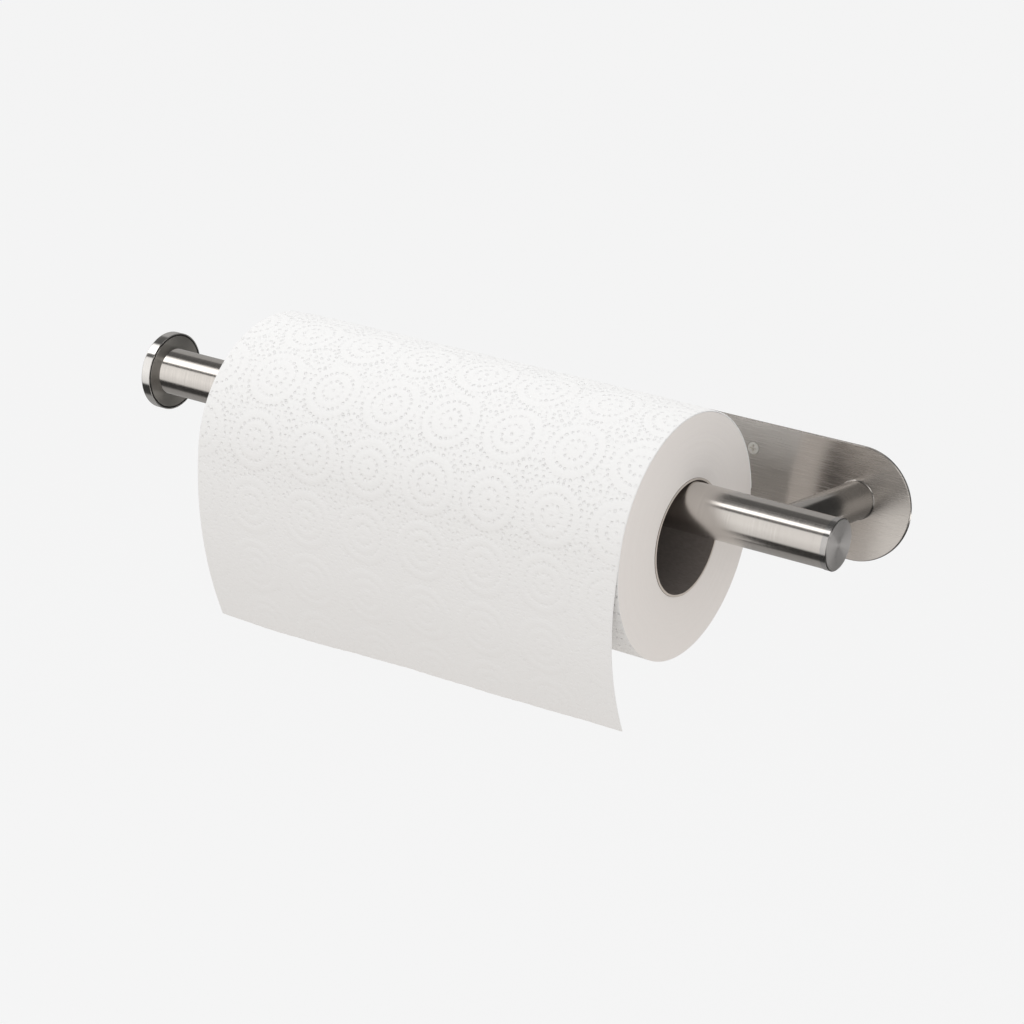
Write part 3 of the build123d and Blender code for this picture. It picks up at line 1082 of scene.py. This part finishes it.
@dataclass
class CoreTube:
    """The cardboard core with the step of its spiral seam.

    Attributes:
        axes: Places on the holder.
        segments: Faces round the tube.
        rings: Faces along the tube.
        wall: The thickness of its wall.
        step: The height of the seam's step.
        step_share: The share of a turn over which the step fades.
    """

    axes: HolderAxes
    segments: int = 144
    rings: int = 60
    wall: float = 1.0 * MM
    step: float = 0.12 * MM
    step_share: float = 1 / 8

    def build(self) -> bpy.types.Object:
        """Return the core, dressed and riding with the roll."""
        low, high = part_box("cardboard_core")
        middle = (low + high) / 2
        deselect()
        bpy.ops.mesh.primitive_cylinder_add(
            vertices=self.segments,
            radius=self.axes.core_outer,
            depth=high.x - low.x,
            end_fill_type="NOTHING",
            location=middle,
            rotation=(0, math.pi / 2, 0),
        )
        core = bpy.context.object
        core.name = "core_tube"
        bpy.ops.object.transform_apply(location=True, rotation=True, scale=True)
        bpy.ops.object.mode_set(mode="EDIT")
        for ring in range(1, self.rings):
            bpy.ops.mesh.select_all(action="SELECT")
            place = low.x + (high.x - low.x) * ring / self.rings
            bpy.ops.mesh.bisect(plane_co=(place, 0, 0), plane_no=(1, 0, 0))
        bpy.ops.object.mode_set(mode="OBJECT")
        finish = Cardboard("core_board", (middle.y, middle.z))
        points = read_points(core)
        angle = np.arctan2(points[:, 2] - middle.z, points[:, 1] - middle.y)
        phase = (points[:, 0] / finish.seam_pitch - angle / TURN) % 1.0
        shrink = 1 - self.step * np.clip(1 - phase / self.step_share, 0, 1) / self.axes.core_outer
        points[:, 1] = middle.y + (points[:, 1] - middle.y) * shrink
        points[:, 2] = middle.z + (points[:, 2] - middle.z) * shrink
        write_points(core, points)
        apply_modifier(core, "SOLIDIFY", thickness=self.wall, offset=-1.0)
        face_outwards(core)
        smooth(core, 40)
        dress(core, finish.material())
        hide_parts("cardboard_core")
        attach(core, "roll")
        return core


@dataclass
class Studio:
    """Camera, floor, lights and surroundings."""

    azimuth: float = 32.587
    elevation: float = 15.777
    roll: float = 5.495
    lens: float = 91.6
    place: Point = (0.5594, -1.0026, 0.2900)
    floor_height: float = -0.45
    floor_size: float = 60.0
    floor_dark: Colour = (0.10, 0.10, 0.10)
    floor_light: Colour = (0.11, 0.11, 0.11)
    backdrop: Colour = (0.905, 0.905, 0.905)
    glow: float = 0.90
    warmth: Colour = (1.0, 0.98, 0.955)
    banks: tuple[tuple[float, float], ...] = (
        (-180, 0.38), (-85, 0.38), (-76, 0.06), (-46, 0.05), (-40, 0.95), (0, 1.25), (37, 1.20),
        (40, 0.14), (49, 0.14), (54, 2.7), (76, 2.5), (88, 0.12), (120, 0.14), (127, 0.48), (180, 0.40),
    )
    sky: tuple[tuple[float, Colour], ...] = (
        (0.0, (0.74, 0.70, 0.665)), (0.45, (0.86, 0.845, 0.835)),
        (0.52, (0.90, 0.90, 0.90)), (0.75, (0.835, 0.835, 0.84)),
    )

    def camera(self) -> None:
        """Add the camera, turned and rolled to the viewing angle."""
        a, e, r = (math.radians(v) for v in (self.azimuth, self.elevation, self.roll))
        back = Vector((math.sin(a) * math.cos(e), -math.cos(a) * math.cos(e), math.sin(e)))
        level = (-back).cross(Vector((0, 0, 1))).normalized()
        upright = level.cross(-back)
        right = level * math.cos(r) + upright * math.sin(r)
        up = upright * math.cos(r) - level * math.sin(r)
        deselect()
        bpy.ops.object.camera_add(location=self.place)
        camera = bpy.context.object
        camera.rotation_euler = Matrix((right, up, back)).transposed().to_euler()
        camera.data.lens = self.lens
        camera.data.sensor_width = 36
        camera.data.clip_end = 200
        bpy.context.scene.camera = camera

    def floor(self) -> None:
        """Add the pale floor, which glows evenly as a lit sweep does."""
        deselect()
        bpy.ops.mesh.primitive_plane_add(size=self.floor_size, location=(0, 0, self.floor_height))
        floor = bpy.context.object
        floor.name = "floor"
        g = Finish("floor_paper")
        mottle = g.noise(g.place(), 0.4, 1.0)
        g.set(
            Base_Color=g.tint(mottle, self.floor_dark, self.floor_light),
            Roughness=1.0,
            Specular_IOR_Level=0.0,
            Emission_Color=(*self.backdrop, 1),
            Emission_Strength=self.glow,
        )
        dress(floor, g.material)
        floor.visible_glossy = False
        floor.visible_diffuse = False

    def mirrored(self, g: Graph, x: Socket, y: Socket, z: Socket) -> tuple[Socket, Socket]:
        """Set up the banks of light that only polished surfaces mirror.

        The banks lie along the bar, and each has its place as a turn about the bar from the
        front upwards, in degrees, and its level. In front they are full on the left, a third
        as strong in the middle and two thirds on the right, and away from the far left the
        upper part of the highlight near the top is cut down, so that it is narrower. Behind
        they are full on the left and dull on the right, with one level strip a little below the bar.

        Args:
            g: The world's graph.
            x: The ray's direction along the bar.
            y: Its direction towards the wall.
            z: Its direction upwards.

        Returns:
            The banks' colour, and the share of it that the ray's side of the room has.
        """
        turn = g.math("ARCTAN2", z, g.math("MULTIPLY", y, -1.0))
        share = g.math("ADD", g.math("DIVIDE", turn, TURN), 0.5)
        stops = ((d / 360 + 0.5, tuple(level * w for w in self.warmth)) for d, level in self.banks)
        bank = g.ramp(share, tuple(stops))
        from_left = g.spread(x, -0.38, -0.28, (1.0, 0.0))
        to_right = g.spread(x, 0.30, 0.50, (0.33, 0.65))
        dim = g.math("MAXIMUM", from_left, to_right)
        narrow = g.math("MULTIPLY", g.spread(turn, 1.10, 1.20), g.spread(turn, 1.45, 1.53, (1.0, 0.0)))
        narrow = g.math("MULTIPLY", narrow, g.spread(x, -0.57, -0.50, (0.0, 0.9)))
        dim = g.math("MULTIPLY", dim, g.math("SUBTRACT", 1.0, narrow))
        strip = g.spread(g.math("ABSOLUTE", g.math("ADD", z, 0.265)), 0.02, 0.07, (5.5, 0.0))
        strip = g.math("MULTIPLY", strip, g.spread(x, 0.50, 0.66, (1.0, 0.0)))
        dull = g.spread(x, 0.45, 0.65, (0.12, 0.38))
        behind = g.blend(g.spread(x, -0.20, -0.05), 1.0, g.math("ADD", dull, strip))
        front = g.spread(y, -0.05, 0.05, (1.0, 0.0))
        return bank, g.blend(front, behind, dim)

    def surroundings(self) -> None:
        """Light the room softly from all sides, and show mirrors the banks instead."""
        world = bpy.data.worlds.new("studio")
        bpy.context.scene.world = world
        g = Graph(world)
        x, y, z = g.split(g.tree.nodes.new("ShaderNodeTexCoord").outputs["Generated"])
        even = g.ramp(g.math("ADD", g.math("MULTIPLY", z, 0.5), 0.5), self.sky)
        mix = g.tree.nodes.new("ShaderNodeMixShader")
        g.plug(mix.inputs[0], g.tree.nodes.new("ShaderNodeLightPath").outputs["Is Glossy Ray"])
        layers = ((even, 1.0), self.mirrored(g, x, y, z))
        for target, (colour, strength) in zip(mix.inputs[1:], layers):
            shade = g.tree.nodes.new("ShaderNodeBackground")
            g.plug(shade.inputs["Color"], colour)
            g.plug(shade.inputs["Strength"], strength)
            g.plug(target, shade.outputs[0])
        g.plug(g.tree.nodes.new("ShaderNodeOutputWorld").inputs[0], mix.outputs[0])

    def lamp(self, name: str, place: Point, size: float, watts: float, aim: Point) -> None:
        """Add one soft area light that mirrors don't show.

        Args:
            name: The light's name.
            place: Where it stands.
            size: The side of its square.
            watts: Its power.
            aim: The point that it faces.
        """
        deselect()
        bpy.ops.object.light_add(type="AREA", location=place)
        light = bpy.context.object
        light.name = name
        light.data.size = size
        light.data.energy = watts
        light.rotation_euler = (Vector(place) - Vector(aim)).to_track_quat("Z", "Y").to_euler()
        light.visible_glossy = False

    def build(self) -> None:
        """Set up everything that isn't the object."""
        self.camera()
        self.floor()
        self.surroundings()
        self.lamp("top_softbox", place=(-0.25, -0.55, 1.1), size=0.9, watts=3.8, aim=(-0.05, -0.07, 0))
        bpy.context.scene.view_settings.view_transform = "Standard"
        bpy.context.scene.view_settings.look = "None"


def main() -> None:
    """Build the looks in order and report each piece."""
    logging.basicConfig(level=logging.INFO, format="%(name)s: %(message)s")
    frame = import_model()
    emboss = Emboss()
    axes = HolderAxes.read()
    SteelHolder(frame["nodes"]).dress()
    for maker in (HangingTowel(axes, emboss), WoundPaper(axes, emboss), CoreTube(axes)):
        piece = maker.build()
        LOG.info("built %s with %d faces", piece.name, len(piece.data.polygons))
    Studio().build()


if __name__ == "__main__":
    main()
